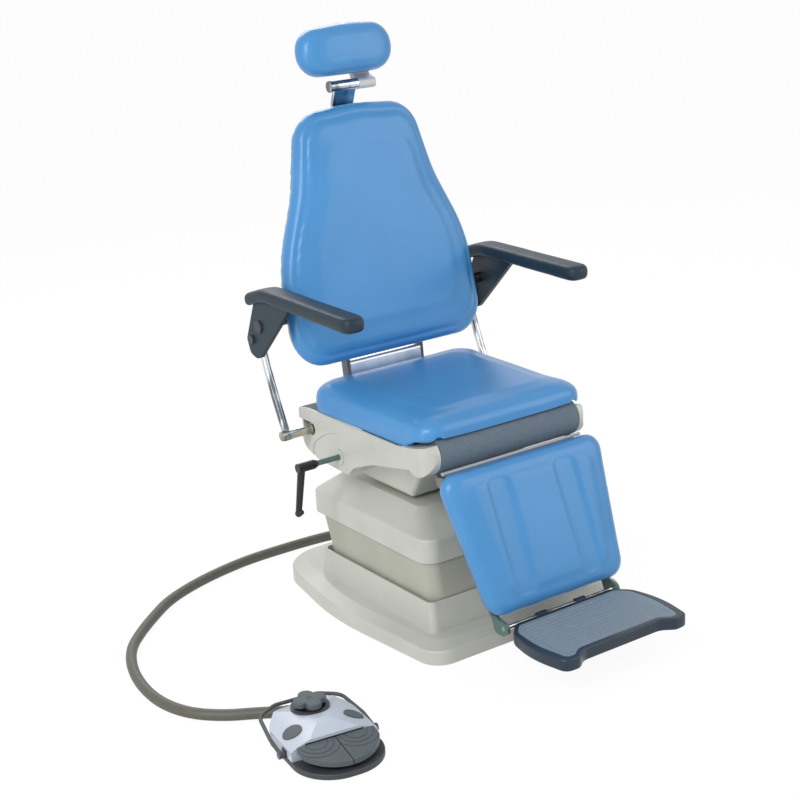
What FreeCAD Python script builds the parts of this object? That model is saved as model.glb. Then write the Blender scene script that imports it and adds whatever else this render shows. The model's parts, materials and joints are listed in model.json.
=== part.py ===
import FreeCAD, Part
import math
import os

# Ear, nose and throat chair. Millimetres, +Z up, the patient looks along -Y.
# The origin is on the floor under the swivel axis.

V = FreeCAD.Vector

# Clearances
RUN = 0.06          # radial running fit of pins and shafts
GAP = 0.4           # plain gap between parts that move past each other
SLIDE = 0.05        # guide pad to inner column

# Base and lift
SKIRT_HALF = 305.0
SKIRT_BOW = (336.0, 40.0)
SKIRT_TAIL = 270.0
SKIRT_FRONT = -363.0
SKIRT_REAR = 398.0
SKIRT_TOP = 38.0
SKIRT_SLOPE = 46.0
PLINTH_TOP = 120.0
COVER_WALL = 5.0
COVER_LOW = 213.0
COVER_BAND = 273.0
COVER_ROOF = 318.0
MIDDLE_TOP = 261.0
MIDDLE_BEND = COVER_LOW - 10.0
FOOT_H = 4.0
PLATE_TOP = 12.0
COL_OUT = 80.0
COL_IN = 70.0
COL_WALL = 6.0
COL_TOP = 304.0

# Turntable and seat body
RING_LOW = 314.0
RING_SPLIT = 326.0
RING_TOP = 338.0
BELLY_LOW = 328.0
BELLY_HALF = 172.0
BODY_HALF = 257.0
LUG_IN = BODY_HALF - 43.0
BODY_WALL = 6.0
RIM = 503.0
BODY_RIM = 505.6

# Pivots, as (y, z)
LEG = (-251.0, 492.0)
LUG_R = 47.0
DRUM_R = 48.5
RECLINE = (168.0, 495.0)
STUD = (208.0, 454.0)
ARM = (264.0, 735.0)
ARM_LOW = (ARM[0] + STUD[0] - RECLINE[0], ARM[1] + STUD[1] - RECLINE[1])
LEVER = (86.0, 408.0)
FOOT = (-464.0, 103.0)

# Cushions
SEAT_LOW = 506.0
SEAT_TOP = 588.0
SEAT_HALF = BODY_HALF - 2.0
SEAT_FRONT = -288.0
SEAT_REAR = 221.0
BACK_LEAN = 11.5
BACK_FOOT = (188.0, 596.0)
BACK_REAR = 26.0
BACK_FRONT = -38.0
BOARD = 8.0
LEG_FALL = 67.0
LEG_OFF = 28.5
LEG_TOP = 57.5
LEG_END = 412.0

# Arms
ARM_X = 342.0
ARM_HALF = 31.0
ARM_EDGE = 8.0
PLATE_X = (344.0, 356.0)
LINK_X = (321.0, 342.0)
LINK_R = 10.3
SHAFT_R = 10.0
STUD_R = 9.0
NOTCH_R = 17.0
STUD_IN = BODY_HALF - 21.0
PIN_R = 8.0
RECLINE_R = 6.0
PIN_IN = LUG_IN - 18.0
PIN_OUT = LUG_IN + 14.0

# Headrest, in back coordinates (along the back, behind its middle plane)
HEAD_AXIS = (714.0, 18.0)
HEAD_MID = (797.0, -7.0)
POST_N = 46.0
POST_HALF = 32.0
PIPE_END = 44.0
HEAD_SPLIT = 38.0
HEAD_PIN_R = 9.0

# Foot control
PEDAL_AT = (-701.0, -492.0)
PEDAL_YAW = -8.0
PEDAL_HALF = 105.0
SHELL_FRONT = -55.0
HOSE_R = 13.5


def box(x0, x1, y0, y1, z0, z1):
    return Part.makeBox(x1 - x0, y1 - y0, z1 - z0, V(x0, y0, z0))


def rod(p, q, r):
    p, q = V(*p), V(*q)
    d = q - p
    return Part.makeCylinder(r, d.Length, p, d)


def xrod(at, x0, x1, r):
    return Part.makeCylinder(r, x1 - x0, V(x0, at[0], at[1]), V(1, 0, 0))


def tube(p, q, r, inner):
    return rod(p, q, r).cut(rod(p, q, inner))


def rounded(points, radii, closed=True):
    """Wire through the points, each corner turned by a tangent arc."""
    n = len(points)
    ends = []
    for i, p in enumerate(points):
        if radii[i] == 0 or (not closed and i in (0, n - 1)):
            ends.append((p, None, p))
            continue
        a = (points[i - 1] - p).normalize()
        b = (points[(i + 1) % n] - p).normalize()
        half = a.getAngle(b) / 2
        t = radii[i] / math.tan(half)
        mid = p + (a + b).normalize() * (radii[i] / math.sin(half) - radii[i])
        ends.append((p + a * t, mid, p + b * t))
    edges = []
    for i in range(n):
        start, mid, stop = ends[i]
        if i > 0 or closed:
            before = ends[i - 1][2]
            if (start - before).Length > 1e-6:
                edges.append(Part.LineSegment(before, start).toShape())
        if mid is not None:
            edges.append(Part.Arc(start, mid, stop).toShape())
    return Part.Wire(edges)


def wire_z(corners, z):
    return rounded([V(c[0], c[1], z) for c in corners], [c[2] for c in corners])


def wire_x(corners, x):
    return rounded([V(x, c[0], c[1]) for c in corners], [c[2] for c in corners])


def prism_z(corners, z0, z1):
    return Part.Face(wire_z(corners, z0)).extrude(V(0, 0, z1 - z0))


def prism_x(corners, x0, x1):
    return Part.Face(wire_x(corners, x0)).extrude(V(x1 - x0, 0, 0))


def rect(x0, x1, y0, y1, r):
    return [(x0, y0, r), (x1, y0, r), (x1, y1, r), (x0, y1, r)]


def loft(wires, ruled=True):
    return Part.makeLoft(wires, True, ruled)


def mirror(shape):
    return shape.mirror(V(0, 0, 0), V(1, 0, 0))


def both(shape):
    return [shape, mirror(shape)]


def group(shapes):
    return Part.makeCompound(shapes)


def fuse(shapes):
    return shapes[0].multiFuse(shapes[1:]).removeSplitter()


def soften(shape, radius, test):
    edges = [e for e in shape.Edges if test(e)]
    return shape.makeFillet(radius, edges)


def at_x(edge, x):
    b = edge.BoundBox
    return abs(b.XMin - x) < 0.01 and abs(b.XMax - x) < 0.01


def at_z(edge, z):
    b = edge.BoundBox
    return abs(b.ZMin - z) < 0.01 and abs(b.ZMax - z) < 0.01


def scaled(corners, s, centre):
    cx, cy = centre
    return [(cx + (c[0] - cx) * s, cy + (c[1] - cy) * s, c[2] * s) for c in corners]


def pillow(corners, centre, levels):
    """Loft of one outline drawn in and out over its thickness: (height, scale)."""
    return loft([wire_z(scaled(corners, s, centre), h) for h, s in levels], False)


def spin(shape, base, axis, angle):
    out = shape.copy()
    out.rotate(V(*base), V(*axis), angle)
    return out


def upright(shape):
    """Outline coordinates (x, along, depth) to back coordinates (x, depth, along)."""
    m = FreeCAD.Matrix(1, 0, 0, 0, 0, 0, 1, 0, 0, 1, 0, 0, 0, 0, 0, 1)
    return shape.transformGeometry(m)


def on_back(shape):
    """Back coordinates (x, behind the middle plane, along the back) to the chair."""
    out = spin(shape, (0, 0, 0), (1, 0, 0), -BACK_LEAN)
    out.translate(V(0, BACK_FOOT[0], BACK_FOOT[1]))
    return out


def on_leg(shape):
    """Legrest coordinates (x, in front of the hinge plane, along) to the chair."""
    out = spin(shape, (0, 0, 0), (1, 0, 0), 180.0 + LEG_FALL - 90.0 - 180.0)
    out.translate(V(0, LEG[0], LEG[1]))
    return out


def on_pedal(shape):
    out = spin(shape, (0, 0, 0), (0, 0, 1), PEDAL_YAW)
    out.translate(V(PEDAL_AT[0], PEDAL_AT[1], 0))
    return out


parts = {}


# Base, lift column and covers

def skirt(inset, z):
    f = SKIRT_FRONT + inset
    r = SKIRT_REAR - inset
    w = SKIRT_HALF - inset
    b = SKIRT_BOW[0] - inset
    c = SKIRT_TAIL - inset
    side = [(w, f, 60 - inset / 2), (b, SKIRT_BOW[1], 900), (c, r, 135 - inset)]
    return wire_z(side + [(-x, y, q) for x, y, q in reversed(side)], z)


def plinth(inset, z0, z1):
    low = rect(-252 + inset, 252 - inset, -284 + inset, 222 - inset, 18)
    top = rect(-247 + inset, 247 - inset, -270 + inset, 214 - inset, 18)
    return loft([wire_z(low, z0), wire_z(top, z1)])


def base_cover():
    outer = Part.Face(skirt(0, 1.0)).extrude(V(0, 0, SKIRT_TOP - 1.0))
    outer = soften(outer, 6.0, lambda e: at_z(e, SKIRT_TOP))
    slope = loft([skirt(6, SKIRT_TOP), skirt(40, SKIRT_SLOPE)])
    stack = fuse([outer, slope, plinth(0, 40.0, PLINTH_TOP)])
    stack = soften(stack, 2.5, lambda e: at_z(e, PLINTH_TOP))
    hollow = Part.Face(skirt(COVER_WALL, 0)).extrude(V(0, 0, SKIRT_TOP - 6.0))
    hollow = hollow.fuse(plinth(COVER_WALL, 30.0, PLINTH_TOP + 1))
    return stack.cut(hollow)


def cover_outline(w, front, rear, turn):
    return [(-w, front, turn[0]), (w, front, turn[0]), (w, rear, turn[1]), (-w, rear, turn[1])]


def middle_wire(z, inset):
    k = min(max(z, PLINTH_TOP), MIDDLE_BEND) - PLINTH_TOP
    w = 233.0 + 0.02 * k - inset
    front, rear = -262 + 0.1253 * k + inset, 202 + 0.34 * k - inset
    return wire_z(cover_outline(w, front, rear, (38, 30)), z)


def middle_stack(z0, z1, inset):
    levels = [z0, PLINTH_TOP, MIDDLE_BEND, z1]
    return [loft([middle_wire(a, inset), middle_wire(b, inset)]) for a, b in zip(levels, levels[1:])]


def middle_cover():
    top = MIDDLE_TOP
    neck = loft([middle_wire(top - 4, 24), middle_wire(top + 6, 24)])
    mouth = loft([middle_wire(top - 8, 28), middle_wire(top + 7, 28)])
    body = fuse(middle_stack(30, top, 0) + [neck])
    return body.cut(fuse(middle_stack(29, top - 4, 3.5) + [mouth]))


def upper_wire(z, inset):
    return wire_z(cover_outline(242 - inset, -256 + inset, 256 - inset, (42 - inset, 26 - inset)), z)


def roof_wire(z, inset):
    return wire_z(rect(-178 + inset, 178 - inset, -150 + inset, 208 - inset, 26 - inset), z)


def upper_cover():
    wall = COVER_WALL - 1.0
    band = loft([upper_wire(COVER_LOW, 0), upper_wire(COVER_BAND, 0)])
    roof = loft([upper_wire(COVER_BAND, 0), roof_wire(COVER_ROOF, 0)])
    shell = fuse([band, roof])
    shell = soften(shell, 7.0, lambda e: at_z(e, COVER_BAND))
    shell = soften(shell, 4.0, lambda e: at_z(e, COVER_ROOF))
    inner = [loft([upper_wire(COVER_LOW - 1, wall), upper_wire(COVER_BAND - 2, wall)]),
             loft([upper_wire(COVER_BAND - 2, wall), roof_wire(COVER_ROOF - wall, wall)])]
    hole = rod((0, 0, COVER_BAND), (0, 0, COVER_ROOF + 5), 112.0)
    return shell.cut(fuse(inner)).cut(hole)


def square_tube(half, wall, z0, z1):
    i = half - wall
    return box(-half, half, -half, half, z0, z1).cut(box(-i, i, -i, i, z0 - 1, z1 + 1))


def hexagon(x, y, z0, z1, flat):
    r = flat / math.sqrt(3)
    pts = [V(x + r * math.cos(k * math.pi / 3), y + r * math.sin(k * math.pi / 3), z0) for k in range(7)]
    return Part.Face(Part.makePolygon(pts)).extrude(V(0, 0, z1 - z0))


FLANGE = 125.0
BOLT_AT = [(sx * 105.0, sy * 105.0) for sx in (-1, 0, 1) for sy in (-1, 0, 1) if sx or sy]


def column_outer():
    flange = box(-FLANGE, FLANGE, -FLANGE, FLANGE, PLATE_TOP, PLATE_TOP + 10)
    i = COL_OUT - COL_WALL
    flange = flange.cut(box(-i, i, -i, i, 0, 60))
    return fuse([flange, square_tube(COL_OUT, COL_WALL, PLATE_TOP, 266)])


def column_pads():
    pads = []
    low, high = COL_IN + SLIDE, COL_OUT - COL_WALL
    for z in (188.0, 232.0):
        pads += [box(low, high, -30, 30, z, z + 28), box(-high, -low, -30, 30, z, z + 28)]
        pads += [box(-30, 30, low, high, z, z + 28), box(-30, 30, -high, -low, z, z + 28)]
    return group(pads)


def column_inner():
    top = box(-104, 104, -104, 104, COL_TOP, RING_LOW)
    return fuse([square_tube(COL_IN, COL_WALL, 50, COL_TOP), top])


ROD_R = 20.0


def lift_actuator():
    body = tube((0, 0, PLATE_TOP), (0, 0, 230), 32.0, ROD_R + 4)
    gland = tube((0, 0, 218), (0, 0, 236), 34.0, ROD_R + RUN)
    motor = rod((0, 0, PLATE_TOP), (0, 0, 44), 40.0)
    return fuse([motor, body.cut(rod((0, 0, 0), (0, 0, 44), 60.0)), gland])


parts["base_cover"] = base_cover()
parts["base_plate"] = Part.Face(skirt(COVER_WALL, FOOT_H)).extrude(V(0, 0, PLATE_TOP - FOOT_H))
FEET_AT = [(0, 0), (-200, -290), (200, -290), (-240, 20), (240, 20), (-190, 330), (190, 330)]
BASE_FEET = [rod((x, y, 0), (x, y, FOOT_H), 26.0) for x, y in FEET_AT]
parts["column_outer"] = column_outer()
parts["column_pads"] = column_pads()
parts["base_bolts"] = group([hexagon(x, y, PLATE_TOP + 10, PLATE_TOP + 18, 19.0) for x, y in BOLT_AT])
parts["lift_actuator"] = lift_actuator()
parts["control_box"] = box(140, 205, -150, 90, PLATE_TOP, 92)
parts["middle_cover"] = middle_cover()
parts["upper_cover"] = upper_cover()
parts["column_inner"] = column_inner()
parts["lift_rod"] = rod((0, 0, 70), (0, 0, COL_TOP), ROD_R)
parts["bearing_lower"] = tube((0, 0, RING_LOW), (0, 0, RING_SPLIT - GAP / 2), 100.0, 55.0)
parts["bearing_upper"] = tube((0, 0, RING_SPLIT + GAP / 2), (0, 0, RING_TOP), 100.0, 55.0)


# Seat body, frame and drives

ARCH = [(212, 340, 0), (208, 416, 40), (150, 452, 60), (88, 474, 70), (30, 470, 40), (-26, 428, 30),
        (-26, 340, 0)]
# Underside of the seat front, over the lugs
CHIN = [(-340, 535, 0), (-232, 514, 0), (-170, BODY_RIM, 0)]


def seat_body():
    side = prism_x([(270, 499, 8), (270, 450, 60), (248, 394, 40), (190, 374, 80), (52, 368, 10),
                    (24, 394, 18), (-60, 424, 200), (-232, 456, 12), CHIN[1], (-170, BODY_RIM, 40),
                    (225, BODY_RIM, 60)], -BODY_HALF, BODY_HALF)
    side = soften(side, 5.0, lambda e: at_x(e, BODY_HALF) or at_x(e, -BODY_HALF))
    belly = prism_x([(-100, BELLY_LOW, 10), (112, BELLY_LOW, 14), (146, 390, 30), (146, 440, 0),
                     (-158, 440, 0), (-146, 400, 40)], -BELLY_HALF, BELLY_HALF)
    belly = soften(belly, 14.0, lambda e: at_x(e, BELLY_HALF) or at_x(e, -BELLY_HALF))
    lugs = xrod(LEG, -BODY_HALF, BODY_HALF, LUG_R)
    lugs = soften(lugs, 5.0, lambda e: at_x(e, BODY_HALF) or at_x(e, -BODY_HALF))
    over = prism_x(CHIN + [(-170, 600, 0), (-340, 600, 0)], -300, 300)
    outer = fuse([side, lugs.cut(over)])
    outer = outer.cut(box(-LUG_IN, LUG_IN, -320, -196, 400, 560))
    plan = [(-BODY_HALF, -299, 40), (LUG_IN + 16, -299, 10), (LUG_IN + 16, -214, 10), (BODY_HALF, -200, 10),
            (BODY_HALF, 275, 0), (-BODY_HALF, 275, 0)]
    outer = outer.common(prism_z(plan, 300, 600))
    outer = outer.fuse(belly)
    tub = prism_x([(264, 540, 0), (264, 452, 50), (243, 400, 30), (189, 380, 60), (54, 374, 6),
                   (30, 400, 14), (-60, 430, 100), (-190, 461, 6), (-190, 540, 0)],
                  -BODY_HALF + BODY_WALL, BODY_HALF - BODY_WALL)
    pit = prism_x([(-92, BELLY_LOW + 6, 4), (107, BELLY_LOW + 6, 8), (140, 392, 20), (140, 470, 0),
                   (-150, 470, 0), (-140, 402, 30)], -BELLY_HALF + 6, BELLY_HALF - 6)
    body = outer.cut(tub).cut(pit)
    bosses = both(xrod(STUD, -BODY_HALF + BODY_WALL, -STUD_IN, NOTCH_R + 6))
    body = body.multiFuse(bosses + both(xrod(LEVER, -BODY_HALF + 1, -BODY_HALF + 17, 20)))
    low, high = STUD[1] - NOTCH_R, STUD[1] + NOTCH_R
    edge, floor = -BODY_HALF - 1, -BODY_HALF + 11
    notch = xrod(STUD, edge, floor, NOTCH_R).fuse(box(edge, floor, STUD[0], 290, low, high))
    arch = prism_x(ARCH, -BODY_HALF - 1, -BODY_HALF + 3.5)
    arch = arch.cut(xrod(LEVER, -BODY_HALF - 2, -BODY_HALF + 4, 20.0))
    holes = both(notch) + both(arch) + both(xrod(STUD, edge, edge + 30, STUD_R))
    holes += [xrod(LEVER, edge, edge + 30, 8.0), xrod(LEG, -PIN_OUT, PIN_OUT, SHAFT_R)]
    holes += [rod((0, 0, BELLY_LOW - 5), (0, 0, RING_TOP), 104.0)]
    holes += [box(-150, 150, 240, 290, 392, 520)]
    return body.cut(fuse(holes))


FRAME_X = (126.0, 134.0)


def seat_frame():
    base = box(-134, 134, -84, 100, RING_TOP, RING_TOP + 8).cut(rod((0, 0, 300), (0, 0, 360), 50.0))
    cheek = prism_x([(-84, RING_TOP, 0), (92, RING_TOP, 6), (184, 470, 10), (184, SEAT_LOW - 0.5, 6),
                     (130, SEAT_LOW - 0.5, 0), (130, RIM, 0), (-150, RIM, 6), (-150, 474, 10)],
                    -FRAME_X[1], -FRAME_X[0])
    cheek = cheek.cut(xrod(RECLINE, -140, 140, RECLINE_R))
    rail = box(-BODY_HALF + 7, -FRAME_X[1], -150, -120, RIM - 12, RIM)
    w = SEAT_HALF - 19
    pan = box(-w, w, -165, 125, RIM, SEAT_LOW)
    return fuse([base, pan] + both(cheek) + both(rail))


def seat_outline():
    f, r, w = SEAT_FRONT, SEAT_REAR, SEAT_HALF
    return [(-w + 6, f, 62), (w - 6, f, 62), (w, r, 58), (-w, r, 58)]


def seat_cushion():
    h = SEAT_TOP - SEAT_LOW
    levels = [(0, 0.983), (12, 0.995), (32, 1.0), (52, 0.99), (66, 0.95), (76, 0.875), (h, 0.70)]
    pad = pillow(seat_outline(), (0, -37), [(SEAT_LOW + z, s) for z, s in levels])
    under = prism_x(CHIN + [(-170, 480, 0), (-340, 480, 0)], -300, 300)
    return pad.cut(under).cut(xrod(LEG, -LUG_IN - 1, LUG_IN + 1, DRUM_R + 1.8))


parts["seat_body"] = seat_body()
parts["seat_frame"] = seat_frame()
parts["seat_cushion"] = seat_cushion()
parts["recline_drive"] = fuse([xrod((50, 432), -FRAME_X[0], FRAME_X[0], 30), xrod((50, 432), -60, 60, 36)])
parts["leg_drive"] = fuse([xrod((-70, 450), -FRAME_X[0], FRAME_X[0], 28), xrod((-70, 450), -40, 90, 34)])
RECLINE_PIN = xrod(RECLINE, -FRAME_X[1] - 4, FRAME_X[1] + 4, RECLINE_R)
parts["pivot_pins"] = group(both(xrod(LEG, -PIN_OUT, -PIN_IN, SHAFT_R)) + [RECLINE_PIN])


def stud():
    shank = xrod(STUD, -LINK_X[1] - 2, -STUD_IN, STUD_R)
    collar = xrod(STUD, -LINK_X[0] + GAP, -BODY_HALF + 10, 12.5)
    cap = xrod(STUD, -LINK_X[1] - 6, -LINK_X[1] - GAP, 12.5)
    return fuse([shank, collar, cap])


parts["link_studs"] = group(both(stud()))

# Clamp lever
HUB_X = (BODY_HALF + 75.0, BODY_HALF + 123.0)
HANDLE_L = 127.0
HANDLE_LEAN = 8.0
LEVER_R = 7.0


def lock_handle():
    hub = xrod(LEVER, -HUB_X[1], -HUB_X[0], 12.0)
    nose = Part.makeCone(12.0, 9.0, 8.0, V(-HUB_X[0], LEVER[0], LEVER[1]), V(1, 0, 0))
    x = -HUB_X[1] + 12
    down = V(-0.06, math.sin(math.radians(HANDLE_LEAN)), -math.cos(math.radians(HANDLE_LEAN)))
    top = V(x, LEVER[0], LEVER[1])
    arm = Part.makeCone(10.0, 8.0, HANDLE_L, top, down)
    end = top + down * HANDLE_L
    tip = Part.makeSphere(9.5, end)
    heel = Part.makeSphere(7.0, end + V(2, -10, 5))
    return fuse([hub, nose, arm, tip, heel]).cut(xrod(LEVER, -HUB_X[0] - 20, -300, LEVER_R))


parts["lock_rod"] = xrod(LEVER, -HUB_X[0] - 20, -FRAME_X[1] - GAP, LEVER_R)
parts["lock_handle"] = lock_handle()


# Back

BACK_HALF = 291.5
BACK_LOW = 22.0
BACK_TOP = 666.0
BACK_SIDE = [(BACK_HALF, BACK_LOW, 90), (BACK_HALF, 283, 430), (216.5, 462, 380), (175, BACK_TOP - 14, 88)]
BACK_MID = (0.0, 343.0)


def back_outline():
    left = [(-x, y, r) for x, y, r in reversed(BACK_SIDE)]
    return BACK_SIDE + [(0, BACK_TOP + 1, 600)] + left


def back_cushion():
    levels = [(BACK_REAR, 0.96), (14, 0.988), (0, 1.0), (-14, 0.988), (-26, 0.95), (-34, 0.875),
              (BACK_FRONT, 0.70)]
    return on_back(upright(pillow(back_outline(), BACK_MID, levels)))


def back_board():
    face = Part.Face(wire_z(scaled(back_outline(), 0.93, BACK_MID), BACK_REAR))
    return on_back(upright(face.extrude(V(0, 0, BOARD))))


def back_shell():
    d = BACK_REAR + BOARD
    def cup(s0, s1, s2, d0, d1, d2):
        return loft([wire_z(scaled(back_outline(), s, BACK_MID), n)
                     for s, n in ((s0, d0), (s1, d1), (s2, d2))])
    shell = cup(0.93, 0.90, 0.78, d, d + 22, d + 36)
    shell = shell.cut(cup(0.915, 0.885, 0.765, d - 0.01, d + 20, d + 32.5))
    shell = upright(shell)
    shell = shell.cut(box(-140, 140, d - 5, d + 60, -40, 104))
    shell = shell.cut(box(-POST_HALF - 1, POST_HALF + 1, POST_N - 5, POST_N + 5, 560, 700))
    return on_back(shell).cut(xrod(ARM, -320, 320, SHAFT_R + 1))


PLATE_IN = (112.0, 122.0)


def back_frame():
    y, z = RECLINE
    arm = prism_x([(y - 10, z - 10, 9.4), (244, z - 16, 30), (258, 600, 60), (287, 770, 6), (261, 775, 6),
                   (232, 612, 60), (224, z + 4, 12), (y - 10, z + 10, 9.4)], -PLATE_IN[1], -PLATE_IN[0])
    arm = arm.cut(xrod(RECLINE, -140, 140, RECLINE_R + RUN)).cut(xrod(ARM, -140, 140, SHAFT_R))
    tie = box(-PLATE_IN[0], PLATE_IN[0], 254, 264, 690, 708)
    return fuse(both(arm) + [tie])


CROSS = (240.0, 575.0)


def crossbar():
    y, z = CROSS
    return prism_x([(y - 14, z - 25, 10), (y + 9, z - 25, 10), (y + 15, z + 25, 10), (y - 10, z + 25, 10)],
                   -PLATE_IN[0], PLATE_IN[0])


def arm_shaft():
    caps = both(xrod(ARM, -PLATE_X[1] - 5, -PLATE_X[1] - GAP, 16))
    stops = both(xrod(ARM, -PLATE_X[0] + GAP, -300, 15))
    return fuse([xrod(ARM, -PLATE_X[1] - 3, PLATE_X[1] + 3, SHAFT_R)] + caps + stops)


def post_guide():
    w = POST_HALF + GAP
    block = box(-w - 9, w + 9, POST_N - 11.5, POST_N + 11, 500, 590)
    return on_back(block.cut(box(-w, w, POST_N - 4 - GAP, POST_N + 4 + GAP, 490, 640)))


parts["back_cushion"] = back_cushion()
parts["back_board"] = back_board()
parts["back_shell"] = back_shell()
parts["back_frame"] = back_frame()
parts["back_crossbar"] = crossbar()
parts["arm_shaft"] = arm_shaft()
parts["post_guide"] = post_guide()


# Headrest, in back coordinates

def head_post():
    n, t = POST_N, 4.0
    a, m = HEAD_AXIS
    bent = prism_x([(n - t, 470, 0), (n + t, 470, 0), (n + t, 672, 10), (m + 4, a + 2, 0), (m - 4, a - 6, 0),
                    (n - t, 666, 6)], -POST_HALF, POST_HALF)
    pipe = xrod((m, a), -PIPE_END, HEAD_SPLIT, 13.5)
    pin = xrod((m, a), HEAD_SPLIT, 92, HEAD_PIN_R)
    rim = xrod((m, a), -PIPE_END - 4, -PIPE_END, 15.0)
    return on_back(fuse([bent, pipe, pin, rim]))


HEAD_PLATE = box(-86, 86, HEAD_MID[1] + 32, HEAD_AXIS[1] + 21, HEAD_AXIS[0] + 36, HEAD_MID[0] + 40)


def head_clamp():
    a, m = HEAD_AXIS
    block = prism_x([(m - 15, a - 15, 12), (m + 18, a - 15, 12), (m + 36, a + 58, 6), (m + 22, a + 62, 6),
                     (m + 10, a + 20, 8), (m - 15, a + 6, 8)], HEAD_SPLIT + GAP, 88)
    block = block.cut(xrod((m, a), 30, 100, HEAD_PIN_R + RUN))
    arm = box(-70, 88, m + 21, m + 33, a + 34, a + 60)
    return on_back(fuse([block, arm]).cut(HEAD_PLATE))


HEAD_HALF = 140.0
HEAD_OUT = [(-HEAD_HALF, -48, 60), (HEAD_HALF, -48, 60), (HEAD_HALF, 72, 60), (0, 83, 450),
            (-HEAD_HALF, 72, 60)]


def head_cushion():
    levels = [(32, 0.86), (22, 0.95), (5, 1.0), (-12, 0.98), (-27, 0.91), (-37, 0.78), (-42, 0.56)]
    a, n = HEAD_MID
    outline = [(x, y + a - 10, r) for x, y, r in HEAD_OUT]
    pad = upright(pillow(outline, (0, a), [(n + d, s) for d, s in levels]))
    return on_back(pad)


parts["head_post"] = head_post()
parts["head_clamp"] = head_clamp()
parts["head_plate"] = on_back(HEAD_PLATE)
parts["head_cushion"] = head_cushion()


# Armrests and links, left-hand side at -X

def arm_bracket():
    y, z = ARM_LOW
    plate = prism_x([(112, 806, 4), (280, 800, 4), (y + 26, z - 2, 16), (y + 12, z - 38, 18),
                     (y - 26, z - 50, 28)], -PLATE_X[1], -PLATE_X[0])
    plate = plate.cut(xrod(ARM, -400, -300, SHAFT_R + RUN))
    return plate.cut(xrod(ARM_LOW, -400, -300, PIN_R + GAP))


def arm_pad():
    side = prism_x([(-172, 837, 16), (226, 842, 160), (314, 815, 16), (302, 783, 14), (222, 808, 120),
                    (-172, 799, 16)], -ARM_X - ARM_HALF, -ARM_X + ARM_HALF)
    plan = prism_z(rect(-ARM_X - ARM_HALF, -ARM_X + ARM_HALF, -174, 320, 29), 760, 860)
    pad = side.common(plan)
    pad = soften(pad, ARM_EDGE, lambda e: e.BoundBox.XLength < 1e-3 and e.BoundBox.YLength > 4)
    return pad.cut(prism_x([(100, 700, 0), (296, 700, 0), (296, 812, 0), (100, 812, 0)],
                           -PLATE_X[1], -PLATE_X[0]))


def link():
    x = -(LINK_X[0] + LINK_X[1]) / 2
    pts = [V(x, STUD[0], STUD[1]), V(x, 251, 545), V(x, 282, 620), V(x, ARM_LOW[0], ARM_LOW[1])]
    path = rounded(pts, [0, 180, 180, 0], False)
    tangent = pts[1] - pts[0]
    ring = Part.Wire(Part.makeCircle(LINK_R, pts[0], tangent))
    bar = path.makePipeShell([ring], True, False)
    eyes = [xrod(STUD, -LINK_X[1], -LINK_X[0], 14), xrod(ARM_LOW, -LINK_X[1], -LINK_X[0], 13)]
    pin = xrod(ARM_LOW, -PLATE_X[1] - 6, -LINK_X[0], PIN_R)
    head = xrod(ARM_LOW, -PLATE_X[1] - 6, -PLATE_X[1] - GAP, 12)
    bar = fuse([bar] + eyes + [pin, head])
    return bar.cut(xrod(STUD, -360, -300, STUD_R + RUN))


BRACKET = arm_bracket()
PAD = arm_pad()
LINK = link()
for side, place in (("l", lambda s: s), ("r", mirror)):
    parts["arm_pad_" + side] = place(PAD)
    parts["arm_bracket_" + side] = place(BRACKET)
    parts["arm_link_" + side] = place(LINK)


# Legrest and footrest

LEG_WIDE, LEG_SLIM = LUG_IN + 31, LUG_IN - 12
LEG_OUT = [(-LEG_WIDE, LEG_TOP, 40), (LEG_WIDE, LEG_TOP, 40), (LEG_SLIM, LEG_END, 48),
           (-LEG_SLIM, LEG_END, 48)]
LEG_MID = (0.0, 235.0)
LEG_THICK = 54.0
LEG_FACE = LEG_OFF + LEG_THICK
LEG_SHEET = (LEG_OFF - 5.0, LEG_OFF - 0.2)
CHANNEL_X = 100.0


def flat_leg(shape):
    """Outline coordinates (x, along, height) to legrest coordinates (x, height, along down)."""
    m = FreeCAD.Matrix(1, 0, 0, 0, 0, 0, -1, 0, 0, -1, 0, 0, 0, 0, 0, 1)
    return on_leg(shape.transformGeometry(m))


def leg_cushion():
    levels = [(0, 0.955), (12, 0.988), (24, 1.0), (35, 0.988), (44, 0.955), (50, 0.89), (LEG_THICK, 0.74)]
    pad = pillow(LEG_OUT, LEG_MID, [(LEG_OFF + h, s) for h, s in levels])
    for s in (-1, 1):
        c = s * CHANNEL_X
        top = [(c - 34, LEG_TOP + 36, 20), (c + 34, LEG_TOP + 36, 20), (c + 28, LEG_END - 34, 20),
               (c - 28, LEG_END - 34, 20)]
        pad = pad.cut(prism_z(top, LEG_FACE - 3.5, LEG_FACE + 20))
    return flat_leg(pad)


PIPING = (53.0, 27.0, 4.2)


def piping():
    a, n, r = PIPING
    return Part.makeCylinder(r, 2 * LUG_IN - 4, V(-LUG_IN + 2, a, n), V(1, 0, 0))


def leg_frame():
    low, high = LEG_SHEET
    w, v = LUG_IN - 24, LUG_IN - 94
    plate = box(-w, w, PIPING[0], LEG_END - 6, low, high)
    plate = plate.cut(box(-v, v, 110, 340, low - 5, high + 5))
    outline = [(-12.5, -13, 12), (-12.5, 12.5, 12), (14, 12.5, 8), (24, -3, 8), (56, -3, 6), (66, high, 0),
               (100, high, 0), (100, low, 0), (78, -13, 8)]
    wire = rounded([V(LUG_IN - 16, a, n) for a, n, r in outline], [r for a, n, r in outline])
    arm = Part.Face(wire).extrude(V(11, 0, 0))
    tab = box(LUG_IN - 28, LUG_IN - 5, 66, 110, low, high)
    frame = fuse([plate] + both(arm) + both(tab))
    frame = frame.cut(Part.makeCylinder(SHAFT_R + RUN, 600, V(-300, 0, 0), V(1, 0, 0)))
    return flat_leg(frame.cut(piping()))


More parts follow.
